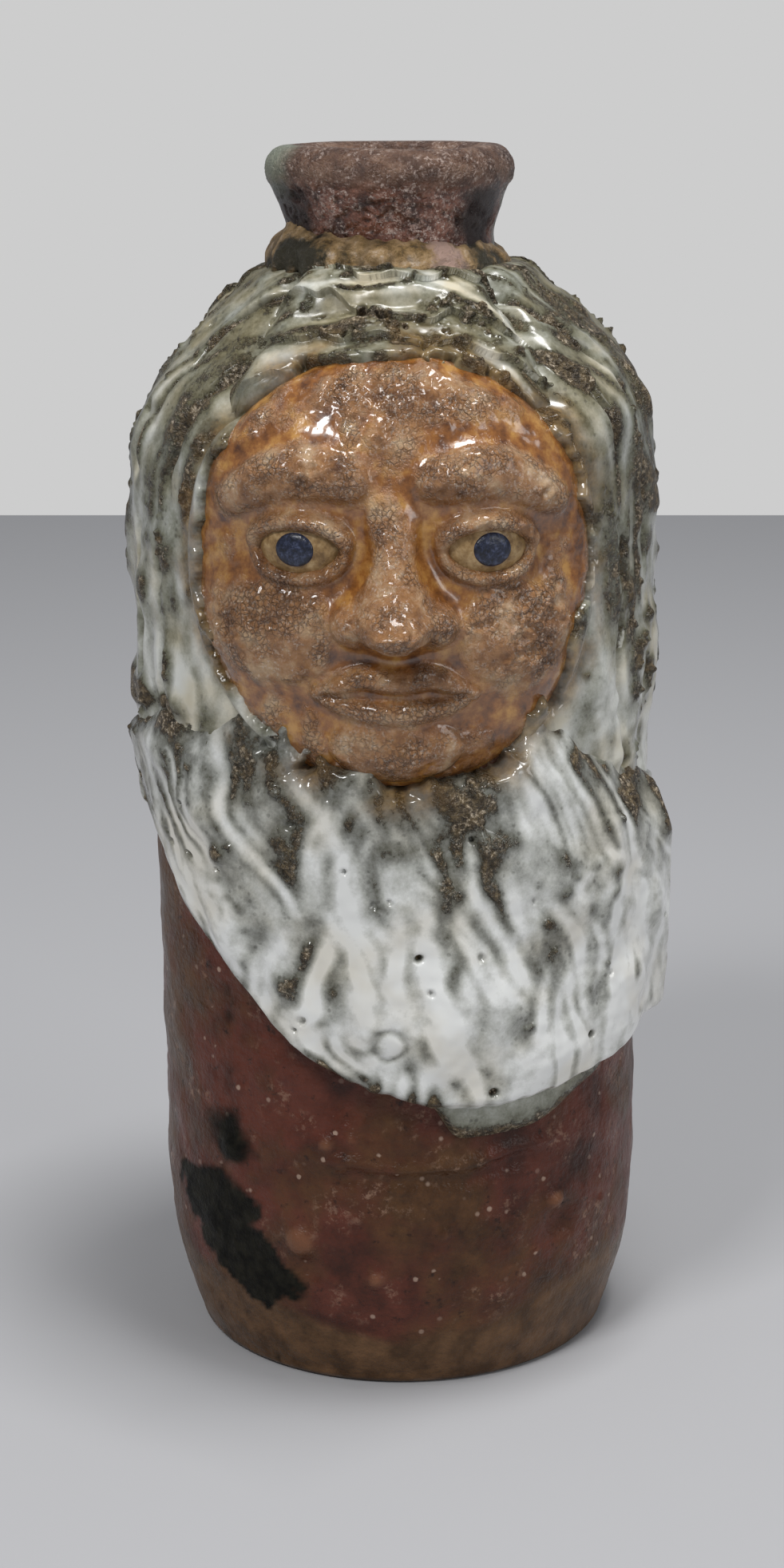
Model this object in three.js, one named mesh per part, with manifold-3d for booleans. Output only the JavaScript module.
// A face jug: a hand-built stoneware bottle with a flared neck. Its upper half is dressed with combed
// strips of clay for hair and beard, round a face of coils, pellets and pads laid on an oval slab.
// Millimetres, +Z up. The face looks along -Y and the origin is the centre of the foot.
import * as THREE from "three";
import { mergeVertices } from "three/addons/utils/BufferGeometryUtils.js";
import Module from "manifold-3d";

const wasm = await Module();
wasm.setup();

const DEG = Math.PI / 180;
const { lerp, clamp, smoothstep } = THREE.MathUtils;

// The vessel
const bodyRadius = 36.5;
const wall = 5;
const footRadius = 31.3;
const footThickness = 6;
const footEdge = 1.6;
const footTaperHeight = 28; // the wall draws in below this height
const shoulderHeight = 134.5; // where the shoulder begins to turn in
const shoulderSkirt = 8.5; // its upright part below that, down to the top of the wall
const shoulderBend = 21;
const shoulderSlope = 45 * DEG;
const neckRadius = 14.6;
const neckWall = 4.8;
const neckHeight = 15.2;
const neckStem = 3.4; // the part of the neck below its flare
const neckSpread = 0.5; // how much wider the neck is where it sits on the shoulder
const lipRadius = 17.9;
const lipThickness = 6.4;
const lipRise = 2.6; // from the widest part of the lip to its crest
const coilRadius = 1.6; // the coil that seals the foot of the neck

// How the pieces sit and how the whole pot is out of true
const seam = 0.3; // the joint between two pieces
const strandGap = 0.5; // between neighbouring strips, measured round the jug
const lean = 2; // how far the lip stands to the left of the foot
const ovality = 0.006;
const ovalAxis = 35 * DEG;

// The face slab
const fringeDepth = 13.9; // from the hair's upper end down to the slab
const faceHeight = 61.5; // along the shell
const faceWidth = 59;
const faceThickness = 3;
const faceCrown = 1.6;
const socketDepth = 1.5;

// The features. A spacing is from the middle of the face, round the shell, a drop is from the top of the
// slab and a rise from its bottom.
const eyeSpacing = 11.8;
const eyeDrop = 27.5;
const eyeballWidth = 11;
const eyeballHeight = 8.6;
const eyeballBulge = 3;
const irisWidth = 4.4;
const irisThickness = 0.7;
const lidWidth = 2.7;
const lidBulge = 2.6;
const lidOverlap = 0.2; // how far the middle of a lid comes in over its eyeball
const browSpacing = 3.6; // to its inner end
const browDrop = 19.1;
const browLength = 18;
const browArch = 2;
const browFall = 2.6; // how much lower its outer end is
const browWidth = 6;
const browBulge = 3;
const noseDrop = 23;
const philtrum = 7.1; // from the nose's foot to the line of the mouth
const noseBridge = 6.5;
const noseWidth = 15;
const noseBulge = 9.8;
const nostrilRadius = 1.3;
const nostrilSpacing = 3.2;
const nostrilLift = 8; // out from the shell
const cheekSpacing = 15.6;
const cheekDrop = 39.5;
const cheekWidth = 14;
const cheekHeight = 10;
const cheekBulge = 2;
const mouthRise = 13.4;
const mouthWidth = 19;
const lipWidth = 4.2;
const lipBulge = 2.8;
const chinRise = 5.6;
const chinWidth = 13;
const chinHeight = 7;
const chinBulge = 2.2;

// Hair and beard
const hairThickness = 3.2;
const grooveDepth = 1.2;
const sideEdge = 40 * DEG; // where the fringe ends and the side locks begin
const waveDepth = 0.8;
const waveLength = 27;
const fringeStrips = 3;
const fringeSlant = 2.4;
const templeDrop = 16; // how much lower the first strip hangs at the temples
const hairLength = 83; // of the longest lock, down from the shoulder's line
const beardLap = 1.4; // how far above the bottom of the face slab the beard begins
const beardRise = 15; // how much higher it begins beside the chin
const beardLength = 49;
const underThickness = 1.9;
const underTuck = 2.2; // how far the slab under the beard stays behind the strips' ends
const underShowing = 4.6; // and how far it hangs below them where it shows
const beardThickness = 3;
const beardStrips = 11;

// The side and back locks in order round the jug, as shares of the longest one's length. The locks at 0
// end at the beard.
const sideLocks = {
  hair_right_1: 0,
  hair_right_2: 0,
  hair_right_3: 1,
  hair_back_1: 0.92,
  hair_back_2: 0.83,
  hair_back_3: 0.87,
  hair_back_4: 0.77,
  hair_back_5: 0.73,
  hair_back_6: 0.69,
  hair_left_3: 0.64,
  hair_left_2: 0,
  hair_left_1: 0,
};

// The hem of the beard, at even steps from its left end to its right, as [degrees round from the front,
// share of the beard's length]. The ends stand at the beard's own sides.
const beardHemLine = [
  [-86, 0.08],
  [-46, 0.48],
  [-18, 0.85],
  [6, 0.99],
  [27, 1],
  [47, 0.95],
  [66, 0.82],
  [86, 0.82],
];

// Smoothness
const turnSegments = 36;
const bendStep = 4.2; // longest step over the shoulder's bend
const wallStep = 13; // step of the strips down the wall
const faceStep = 4.4; // longest step down the face slab
const fringeStep = 7 * DEG; // longest step along the fringe

// Heights and radii that follow
const bodyHeight = shoulderHeight - shoulderSkirt;
const coneFoot = shoulderBend * shoulderSlope; // rise at which the shoulder's straight slope begins
const neckRise = coneFoot + (shellRadius(coneFoot) - neckRadius) / Math.sin(shoulderSlope);
const neckSeat = shellHeight(neckRise);
const lipHeight = neckSeat + seam + neckHeight;
const boreRadius = neckRadius - neckWall;
const lockCount = Object.keys(sideLocks).length;
const lockAngle = (2 * Math.PI - 2 * sideEdge) / lockCount;
const beardSide = sideEdge + 2 * lockAngle - (waveDepth + strandGap) / bodyRadius; // where the beard ends

// The seam coil lies in the corner between the shoulder's slope and the neck's stem.
const coilCentre = neckRadius + neckSpread + seam + coilRadius;
const coilClear = coilRadius + seam; // from the coil's middle line to the slope
const coilHeight =
  neckSeat - (coilCentre - neckRadius) * Math.tan(shoulderSlope) + coilClear / Math.cos(shoulderSlope);
const coilRise =
  neckRise - (coilCentre - coilClear * Math.cos(shoulderSlope) - neckRadius) / Math.sin(shoulderSlope);
const crownRise = coilRise - coilRadius - seam; // the hair's upper end

const noseLength = faceHeight - noseDrop - mouthRise - philtrum;
const faceTop = crownRise - fringeDepth;
const faceMiddle = faceTop - faceHeight / 2;
const faceBottom = faceTop - faceHeight;
const beardTop = faceBottom + beardLap;

// Radius and height of the vessel's outer skin. The rise is measured along the skin from the shoulder's
// line, negative down the wall, and the lift is measured out from the skin.
function shellTurn(rise) {
  return clamp(rise / shoulderBend, 0, shoulderSlope);
}

function shellRadius(rise, lift = 0) {
  const turn = shellTurn(rise);
  const past = Math.max(rise - shoulderBend * shoulderSlope, 0);
  const bendCentre = bodyRadius - shoulderBend;
  return bendCentre + (shoulderBend + lift) * Math.cos(turn) - past * Math.sin(turn);
}

function shellHeight(rise, lift = 0) {
  const turn = shellTurn(rise);
  const past = Math.max(rise - shoulderBend * shoulderSlope, 0);
  return shoulderHeight + Math.min(rise, 0) + (shoulderBend + lift) * Math.sin(turn) + past * Math.cos(turn);
}

function shellPoint(angle, rise, lift) {
  const r = shellRadius(rise, lift);
  return new THREE.Vector3(r * Math.sin(angle), -r * Math.cos(angle), shellHeight(rise, lift));
}

// Solids

function solid(points, faces) {
  let volume = 0;
  for (let i = 0; i < faces.length; i += 3) {
    const [a, b, c] = [0, 1, 2].map((k) => points[faces[i + k]]);
    volume += a.dot(b.clone().cross(c));
  }
  return new wasm.Manifold(
    new wasm.Mesh({
      numProp: 3,
      vertProperties: new Float32Array(points.flatMap((p) => p.toArray())),
      triVerts: new Uint32Array(volume < 0 ? faces.toReversed() : faces),
    }),
  );
}

// A closed skin over rings of points. The first `outer` points of each ring are its outer side, and the
// rest come back along its inner side.
function loft(rings, outer) {
  const size = rings[0].length;
  const faces = [];
  for (let i = 0; i + 1 < rings.length; i++)
    for (let j = 0; j < size; j++) {
      const a = i * size + j;
      const b = i * size + ((j + 1) % size);
      faces.push(a, b, b + size, a, b + size, a + size);
    }
  const last = (rings.length - 1) * size;
  let top = 0;
  let back = size - 1;
  while (top < outer - 1 || back > outer) {
    const stepTop = (top + 1) / (outer - 1) <= (size - back) / (size - 1 - outer);
    const next = stepTop ? top + 1 : back - 1;
    faces.push(top, back, next, last + top, last + next, last + back);
    if (stepTop) top = next;
    else back = next;
  }
  return solid(rings.flat(), faces);
}

// Evenly spaced values from one number to another, both included
function evenly(from, to, count) {
  return Array.from({ length: count + 1 }, (_, i) => lerp(from, to, i / count));
}

function spread(count) {
  return evenly(0, 1, count);
}

// A patch of clay on the shell. at(u, t) gives its [angle, rise], u across it and t along it, and top
// and base give how far its two faces lift from the shell there.
function patch({ at, top, base, stops, across, backing }) {
  const point = (lift) => (u, t) => {
    const [angle, rise] = at(u, t);
    return shellPoint(angle, rise, lift(u, t, angle, rise));
  };
  const rings = stops.map((t) => [
    ...spread(across).map((u) => point(top)(u, t)),
    ...spread(backing).reverse().map((u) => point(base)(u, t)),
  ]);
  return loft(rings, across + 1);
}

// A solid from a closed three.js geometry
function fromGeometry(geometry) {
  geometry.deleteAttribute("normal");
  geometry.deleteAttribute("uv");
  const merged = mergeVertices(geometry, 1e-4);
  const position = merged.getAttribute("position");
  const corners = merged.index.array;
  const points = Array.from({ length: position.count }, (_, i) =>
    new THREE.Vector3().fromBufferAttribute(position, i),
  );
  const faces = [];
  for (let i = 0; i < corners.length; i += 3) {
    const face = corners.slice(i, i + 3);
    if (new Set(face).size === 3) faces.push(...face);
  }
  return solid(points, faces);
}

function revolve(profile) {
  const outline = profile.map(([r, z]) => new THREE.Vector2(r, z));
  return fromGeometry(new THREE.LatheGeometry(outline, turnSegments).rotateX(Math.PI / 2));
}

// The largest body left of a piece once the tools are taken out of it
function cut(piece, ...tools) {
  const left = tools.reduce((rest, tool) => rest.subtract(tool), piece);
  const bodies = left.decompose();
  return bodies.sort((a, b) => b.volume() - a.volume())[0];
}

// The vessel

// Radius of the vessel at a height below the shoulder, `inset` in from its outer skin
function wallRadius(height, inset = 0) {
  const reach = bodyRadius - footRadius;
  const taperRadius = (footTaperHeight ** 2 + reach ** 2) / (2 * reach);
  const below = Math.max(footTaperHeight - height, 0);
  return bodyRadius - taperRadius + Math.sqrt((taperRadius - inset) ** 2 - below ** 2);
}

function footDisc() {
  const rounding = spread(3).map((t) => {
    const turn = (t * Math.PI) / 2;
    const z = footEdge * (1 - Math.cos(turn));
    return [wallRadius(footEdge) - footEdge * (1 - Math.sin(turn)), z];
  });
  return revolve([
    [0, 0],
    ...rounding,
    [wallRadius(footThickness), footThickness],
    [0, footThickness],
  ]);
}

function bodyWall() {
  const bottom = footThickness + seam;
  const taper = evenly(bottom, footTaperHeight, 3);
  const outside = taper.map((z) => [wallRadius(z), z]);
  const inside = taper.map((z) => [wallRadius(z, wall), z]).reverse();
  const top = bodyHeight - seam;
  return revolve([
    ...outside,
    [bodyRadius, top],
    [bodyRadius - wall, top],
    ...inside,
    [wallRadius(bottom), bottom],
  ]);
}

function shoulder() {
  const bend = evenly(0, coneFoot, Math.ceil(coneFoot / bendStep) + 1);
  const skin = (lift) => bend.map((rise) => [shellRadius(rise, lift), shellHeight(rise, lift)]);
  const underCone = (shellRadius(coneFoot, -wall) - boreRadius) / Math.tan(shoulderSlope);
  return revolve([
    [bodyRadius, bodyHeight],
    ...skin(0),
    [neckRadius, neckSeat],
    [boreRadius, neckSeat],
    [boreRadius, shellHeight(coneFoot, -wall) + underCone],
    ...skin(-wall).reverse(),
    [bodyRadius - wall, bodyHeight],
    [bodyRadius, bodyHeight],
  ]);
}

function neck() {
  const bottom = neckSeat + seam;
  const lip = lipThickness / 2;
  const lipCentre = lipRadius - lip;
  const stem = bottom + neckStem;
  const widest = lipHeight - lipRise;
  const roll = evenly(-0.06, 0.94, 6).map((turn) => [
    lipCentre + lip * Math.cos(turn * Math.PI),
    widest + lipRise * Math.sin(turn * Math.PI),
  ]);
  const halfway = lerp(stem, widest, 0.5);
  return revolve([
    [neckRadius + neckSpread, bottom],
    [neckRadius, stem],
    [lerp(neckRadius, lipRadius, 0.45), halfway],
    ...roll,
    [lerp(boreRadius, lipRadius - lipThickness, 0.6), halfway],
    [boreRadius, stem],
    [boreRadius, bottom],
    [neckRadius + neckSpread, bottom],
  ]);
}

function neckCoil() {
  const section = evenly(0, 2 * Math.PI, 8).map((turn) => [
    coilCentre + coilRadius * Math.cos(turn),
    coilHeight + coilRadius * Math.sin(turn),
  ]);
  return revolve(section);
}

// The face slab


const ovalPower = 2.3; // 2 is an ellipse, and more is squarer

// An oval's point at u across it and t down it, as [sideways, up] shares of its reach
function oval(u, t) {
  const up = Math.cos(lerp(0.04, 0.96, t) * Math.PI);
  const half = Math.pow(1 - Math.abs(up) ** ovalPower, 1 / ovalPower);
  return [(2 * u - 1) * half, up];
}

function faceLift(side, rise) {
  const [x, y] = [(2 * side) / faceWidth, (rise - faceMiddle) / (faceHeight / 2)];
  const out = clamp(Math.hypot(x, y), 0, 1);
  const socket = [-1, 1].map((s) =>
    Math.exp(
      -(((side - s * eyeSpacing) / eyeballWidth) ** 2) - ((rise - faceTop + eyeDrop) / eyeballHeight) ** 2,
    ),
  );
  return seam + faceThickness + faceCrown * (1 - out * out) - socketDepth * (socket[0] + socket[1]);
}

function facePatch(grow, top, base) {
  return patch({
    at: (u, t) => {
      const [x, y] = oval(u, t);
      return [(x * (faceWidth / 2 + grow)) / bodyRadius, faceMiddle + y * (faceHeight / 2 + grow)];
    },
    top,
    base,
    stops: spread(Math.ceil(faceHeight / faceStep)),
    across: 12,
    backing: 12,
  });
}

function faceSlab() {
  const rounded = (u, t) => smoothstep(Math.min(u, 1 - u) * Math.sin(t * Math.PI), -0.09, 0.1);
  const top = (u, t, angle, rise) => lerp(seam, faceLift(angle * bodyRadius, rise), rounded(u, t));
  return facePatch(0, top, () => seam);
}

// The room that the hair and beard leave for the face slab
function faceRoom() {
  return facePatch(seam, () => bodyRadius / 2, () => -seam);
}

// Places a feature on the face: sideways and up in millimetres, and its lifts from the slab.
function onFace({ place, bulge, stops = spread(8), across = 6, backing = 3, grow = 0 }) {
  const floor = (angle, rise) => faceLift(angle * bodyRadius, rise) + seam - grow;
  return patch({
    at: (u, t) => {
      const [side, rise] = place(u, t);
      return [side / bodyRadius, rise];
    },
    top: (u, t, angle, rise) => floor(angle, rise) + bulge(u, t) + 2 * grow,
    base: (u, t, angle, rise) => floor(angle, rise),
    stops,
    across,
    backing,
  });
}

// A domed pellet pressed on the face
function pellet({ side, rise, width, height, bulge, edge = 0.4, grow = 0 }) {
  return onFace({
    place: (u, t) => {
      const [x, y] = oval(u, t);
      return [side + x * (width / 2 + grow), rise + y * (height / 2 + grow)];
    },
    bulge: (u, t) => {
      const [x, y] = oval(u, t);
      return edge + (bulge - edge) * Math.sqrt(Math.max(1 - x * x - y * y, 0));
    },
    stops: spread(7),
    grow,
  });
}

// A coil pressed on the face along path(t), which gives [side, rise]
function coil({ path, width, bulge, edge = 0.3, stops, grow = 0 }) {
  const ahead = 0.01;
  return onFace({
    place: (u, t) => {
      const [x, y] = path(t);
      const [x1, y1] = path(t + ahead);
      const [x0, y0] = path(t - ahead);
      const long = Math.hypot(x1 - x0, y1 - y0);
      const off = (u - 0.5) * (width(t) + 2 * grow);
      return [x - (off * (y1 - y0)) / long, y + (off * (x1 - x0)) / long];
    },
    bulge: (u, t) => edge + (bulge(t) - edge) * Math.sqrt(Math.max(1 - (2 * u - 1) ** 2, 0)),
    stops,
    grow,
  });
}

// How a coil swells from its ends to its middle
function swell(t, least) {
  return lerp(least, 1, Math.sqrt(Math.sin(lerp(0.04, 0.96, t) * Math.PI)));
}

function brow(side, grow = 0) {
  return coil({
    path: (t) => [
      side * (browSpacing + browLength * t),
      faceTop - browDrop + browArch * Math.sin(t * Math.PI) - browFall * t,
    ],
    width: (t) => browWidth * swell(t, 0.3),
    bulge: (t) => browBulge * swell(t, 0.3),
    grow,
  });
}

function eyeball(side, grow = 0) {
  return pellet({
    side: side * eyeSpacing,
    rise: faceTop - eyeDrop,
    width: eyeballWidth,
    height: eyeballHeight,
    bulge: eyeballBulge,
    grow,
  });
}

function lid(side, upper, grow = 0) {
  const sign = upper ? 1 : -1;
  return coil({
    path: (t) => {
      const turn = lerp(0.05, 0.95, t) * Math.PI;
      return [
        side * eyeSpacing - (eyeballWidth / 2 + 0.3) * Math.cos(turn),
        faceTop - eyeDrop + sign * (eyeballHeight / 2 - lidOverlap) * Math.sin(turn),
      ];
    },
    width: (t) => lidWidth * (upper ? 1 : 0.8) * swell(t, 0.35),
    bulge: (t) => lidBulge * (upper ? 1.25 : 0.9) * swell(t, 0.35),
    grow,
  });
}

// The nose swells down to a round tip, with a wing on each side of its foot.
function nose(grow = 0) {
  const tip = 0.76;
  const spine = (t) => {
    const under = clamp((t - tip) / (1 - tip), 0, 1);
    return lerp(1.4, noseBulge, Math.pow(Math.min(t / tip, 1), 1.2)) * Math.sqrt(1 - 0.86 * under * under);
  };
  const half = (t) => {
    const spreading = smoothstep(t, 0.25, 0.8);
    return (lerp(noseBridge, noseWidth, spreading) / 2) * Math.sqrt(1 - 0.5 * smoothstep(t, 0.86, 1));
  };
  return onFace({
    place: (u, t) => [(2 * u - 1) * (half(t) + grow), faceTop - noseDrop - noseLength * t],
    bulge: (u, t) => {
      const wing = 0.5 * smoothstep(t, 0.5, 0.8) * smoothstep(Math.abs(2 * u - 1), 0.4, 0.7);
      const arch = Math.pow(Math.max(1 - (2 * u - 1) ** 2, 0), 0.7);
      return 0.5 + (spine(t) - 0.5) * Math.min(arch * (1 + wing), 1);
    },
    stops: spread(11),
    across: 8,
    backing: 4,
    grow,
  });
}

// The two holes poked up into the nose
function nostril(side) {
  const foot = faceTop - noseDrop - noseLength;
  const at = shellPoint((side * nostrilSpacing) / bodyRadius, foot + nostrilRadius / 2, nostrilLift);
  const hole = new THREE.IcosahedronGeometry(nostrilRadius, 1);
  return fromGeometry(hole.scale(1, 1, 2).translate(at.x, at.y, at.z));
}

function cheek(side, grow = 0) {
  return pellet({
    side: side * cheekSpacing,
    rise: faceTop - cheekDrop,
    width: cheekWidth,
    height: cheekHeight,
    bulge: cheekBulge,
    grow,
  });
}

// One lip. The upper one has the dip of a mouth's bow.
function mouthCoil(upper, grow = 0) {
  const sign = upper ? 1 : -1;
  const reach = (upper ? mouthWidth : 0.86 * mouthWidth) / 2;
  return coil({
    path: (t) => {
      const x = 2 * t - 1;
      const bow = upper ? 0.4 - 0.6 * Math.cos(x * 2 * Math.PI) : 0.5;
      const full = 1 - x * x;
      return [x * reach, faceBottom + mouthRise + sign * (lipWidth * 0.52 * full + 0.5) + bow * full];
    },
    width: (t) => lipWidth * swell(t, 0.3),
    bulge: (t) => lipBulge * swell(t, 0.3),
    stops: spread(10),
    grow,
  });
}

function chin(grow = 0) {
  return pellet({
    side: 0,
    rise: faceBottom + chinRise,
    width: chinWidth,
    height: chinHeight,
    bulge: chinBulge,
    grow,
  });
}

// A thin spot of blue clay on the middle of an eyeball, following its dome
function iris(side) {
  const column = pellet({
    side: side * eyeSpacing,
    rise: faceTop - eyeDrop,
    width: irisWidth,
    height: irisWidth,
    bulge: 3 * eyeballBulge,
    edge: 3 * eyeballBulge,
  });
  return cut(column.intersect(eyeball(side, seam + irisThickness)), eyeball(side, seam));
}

// Hair and beard

// Combed clay across a strip: ridges with grooves between, lower at both edges
function combed(thickness, ridges) {
  return (u) => {
    const edge = Math.min(u, 1 - u) < 1e-6 ? 0.5 : 1;
    const groove = 0.5 + 0.5 * Math.cos(2 * Math.PI * ridges * u);
    return edge * thickness - (edge === 1 ? grooveDepth * groove : 0);
  };
}

// How a strip thins towards its ends
function ending(t, last) {
  return lerp(0.62, 1, smoothstep(t, 0, 0.12)) * lerp(1, last, smoothstep(t, 0.78, 1));
}

// Where a strip hung over the shoulder has its rings. They fall at the same heights on every strip.
function stopsDown(to) {
  const bend = evenly(coneFoot, 0, Math.ceil(coneFoot / bendStep));
  const rises = [crownRise, ...bend];
  for (let rise = -wallStep; rise > to + wallStep / 4; rise -= wallStep) rises.push(rise);
  return [...rises, to].map((rise) => (crownRise - rise) / (crownRise - to));
}

// A strip between two edge curves, each giving its [angle, rise] at t, with a gap beside its neighbours
function strip({ left, right, base, thickness, stops, ridges = 3, pointed = true }) {
  const ridged = combed(thickness, ridges);
  return patch({
    at: (u, t) => {
      const [a0, r0] = left(t);
      const [a1, r1] = right(t);
      const narrow = pointed ? 0.24 * smoothstep(t, 0.8, 1) : 0;
      const across = lerp(narrow, 1 - narrow, u);
      const gap = strandGap / 2 / shellRadius(lerp(r0, r1, u));
      return [lerp(a0, a1, across) + lerp(gap, -gap, u), lerp(r0, r1, across)];
    },
    top: (u, t) => base + ridged(u) * ending(t, pointed ? 0.5 : 0.8),
    base: () => base,
    stops,
    across: 2 * ridges,
    backing: 3,
  });
}

function lockEdge(index, rise) {
  const angle = sideEdge + lockAngle * index;
  const inner = index > 0 && index < lockCount;
  const wave = inner ? (waveDepth / bodyRadius) * Math.sin((2 * Math.PI * rise) / waveLength + index) : 0;
  return [angle + wave, rise];
}

function sideLock(index, share) {
  const joinsBeard = share === 0;
  const to = joinsBeard ? beardTop + seam : -hairLength * share;
  const edge = (i) => (t) => lockEdge(i, lerp(crownRise, to, t));
  return strip({
    left: edge(index),
    right: edge(index + 1),
    base: seam,
    thickness: hairThickness,
    stops: stopsDown(to),
    pointed: !joinsBeard,
  });
}

// The fringe lies in strips across the front of the crown, slanting down to the right. The lowest one
// hangs down at both temples.
function fringeLevel(index, t) {
  const bottom = faceTop - hairThickness;
  if (index === 0) return bottom - templeDrop * Math.abs(2 * t - 1) ** 3;
  const slant = index < fringeStrips ? fringeSlant * (0.5 - t) + 0.5 * Math.sin(t * 9) : 0;
  return lerp(bottom, crownRise, index / fringeStrips) + slant;
}

function fringe(index) {
  const end = sideEdge - strandGap / 2 / shellRadius(crownRise);
  const ridged = combed(hairThickness, 2);
  return patch({
    at: (u, t) => {
      const low = fringeLevel(index, t) + strandGap / 2;
      const high = fringeLevel(index + 1, t) - strandGap / 2;
      return [lerp(-end, end, t), lerp(low, high, u)];
    },
    top: (u) => seam + ridged(u),
    base: () => seam,
    stops: spread(Math.ceil((2 * sideEdge) / fringeStep)),
    across: 4,
    backing: 6,
  });
}

const beardBase = seam + underThickness + seam;
const beardHem = new THREE.SplineCurve(
  beardHemLine.map(([degrees, share]) => {
    const angle = clamp(degrees * DEG, -beardSide, beardSide);
    return new THREE.Vector2(angle, beardTop - beardLength * share);
  }),
);

// An edge between two strips of the beard: where it is at a given share of its way down, level above the
// beard's top and reaching the hem at 1
function beardEdge(index, down) {
  const share = index / beardStrips;
  const hem = beardHem.getPoint(share);
  const inner = index > 0 && index < beardStrips;
  const bend = Math.sin(7 * down + 2.1 * index) * Math.sin(down * Math.PI);
  const wave = inner ? (waveDepth / bodyRadius) * bend : 0;
  return [lerp(beardSide * (2 * share - 1), hem.x, Math.max(down, 0)) + wave, lerp(beardTop, hem.y, down)];
}

// The middle strips begin higher, where the side locks leave room, and the face slab trims them.
function beardStrip(index) {
  const angle = beardSide * ((2 * index + 1) / beardStrips - 1);
  const start = Math.abs(angle) < sideEdge ? beardRise : 0;
  const edge = (i) => (t) => {
    const length = beardTop - beardHem.getPoint(i / beardStrips).y;
    return beardEdge(i, lerp(-start / length, 1, t));
  };
  return strip({
    left: edge(index),
    right: edge(index + 1),
    base: beardBase,
    thickness: beardThickness,
    stops: spread(6),
  });
}

// The slab under the beard. Its hem shows below the strips to the right of the middle.
function beardUnder() {
  return patch({
    at: (u, t) => {
      const hem = beardHem.getPoint(lerp(0.01, 0.99, u));
      const shows = smoothstep(u, 0.42, 0.55) * (1 - smoothstep(u, 0.72, 0.85));
      const low = hem.y + underTuck - (underTuck + underShowing) * shows;
      return [lerp(beardSide * (2 * u - 1), hem.x, t), lerp(beardTop, low, t)];
    },
    top: (u, t) => seam + underThickness * (1 - 0.4 * smoothstep(t, 0.93, 1)),
    base: () => seam,
    stops: spread(6),
    across: 16,
    backing: 24,
  });
}

// The whole pot

// The pot leans and is not quite round. The foot stays flat.
function settled(x, y, z) {
  const swell = 1 + ovality * Math.cos(2 * (Math.atan2(y, x) - ovalAxis));
  return [x * swell - (lean * z) / lipHeight, y * swell, z];
}

const jug = new THREE.Group();

const materials = Object.fromEntries(
  Object.entries({
    clay: [0x5a3428, 0.75],
    foot: [0x5b4430, 0.8],
    neck: [0x5e4038, 0.6],
    seamCoil: [0x8a6a4a, 0.7],
    hair: [0xa9aca6, 0.3],
    beard: [0xc4c8c4, 0.25],
    underBeard: [0x8b9089, 0.3],
    skin: [0x9a6234, 0.25],
    bareSkin: [0x6e4836, 0.45],
    eye: [0xb08a55, 0.4],
    blue: [0x232c4a, 0.35],
  }).map(([name, [color, roughness]]) => [
    name,
    new THREE.MeshStandardMaterial({ color, roughness, metalness: 0 }),
  ]),
);

function add(name, piece, material) {
  const mesh = piece.getMesh();
  const position = new Float32Array(mesh.vertProperties.length);
  for (let i = 0; i < position.length; i += 3)
    position.set(settled(...mesh.vertProperties.subarray(i, i + 3)), i);
  const geometry = new THREE.BufferGeometry()
    .setAttribute("position", new THREE.BufferAttribute(position, 3))
    .setIndex(new THREE.BufferAttribute(new Uint32Array(mesh.triVerts), 1));
  geometry.computeVertexNormals();
  const node = new THREE.Mesh(geometry, materials[material]);
  node.name = name;
  jug.add(node);
}

add("foot_disc", footDisc(), "foot");
add("body_wall", bodyWall(), "clay");
add("shoulder", shoulder(), "clay");
add("neck", neck(), "neck");
add("neck_coil", neckCoil(), "seamCoil");

add("face_slab", faceSlab(), "skin");
const sides = { left: -1, right: 1 };
for (const [name, side] of Object.entries(sides)) {
  add(`eyeball_${name}`, eyeball(side), "eye");
  add(`iris_${name}`, iris(side), "blue");
  add(`upper_lid_${name}`, cut(lid(side, true), eyeball(side, seam), nose(seam)), "bareSkin");
  add(
    `lower_lid_${name}`,
    cut(lid(side, false), eyeball(side, seam), lid(side, true, seam), nose(seam)),
    "bareSkin",
  );
  add(`brow_${name}`, cut(brow(side), lid(side, true, seam), nose(seam)), "bareSkin");
  add(
    `cheek_${name}`,
    cut(cheek(side), nose(seam), lid(side, false, seam), mouthCoil(true, seam)),
    "bareSkin",
  );
}
add("nose", cut(nose(), nostril(-1), nostril(1)), "bareSkin");
add("upper_lip", cut(mouthCoil(true), nose(seam)), "bareSkin");
add("lower_lip", cut(mouthCoil(false), mouthCoil(true, seam)), "bareSkin");
add("chin_pad", cut(chin(), mouthCoil(true, seam), mouthCoil(false, seam)), "bareSkin");

const room = faceRoom();
for (let i = 0; i < fringeStrips; i++) add(`fringe_${i + 1}`, cut(fringe(i), room), "hair");
Object.entries(sideLocks).forEach(([name, share], i) => add(name, cut(sideLock(i, share), room), "hair"));
add("beard_under", cut(beardUnder(), room), "underBeard");
for (let i = 0; i < beardStrips; i++) add(`beard_${i + 1}`, cut(beardStrip(i), room), "beard");

export default jug;
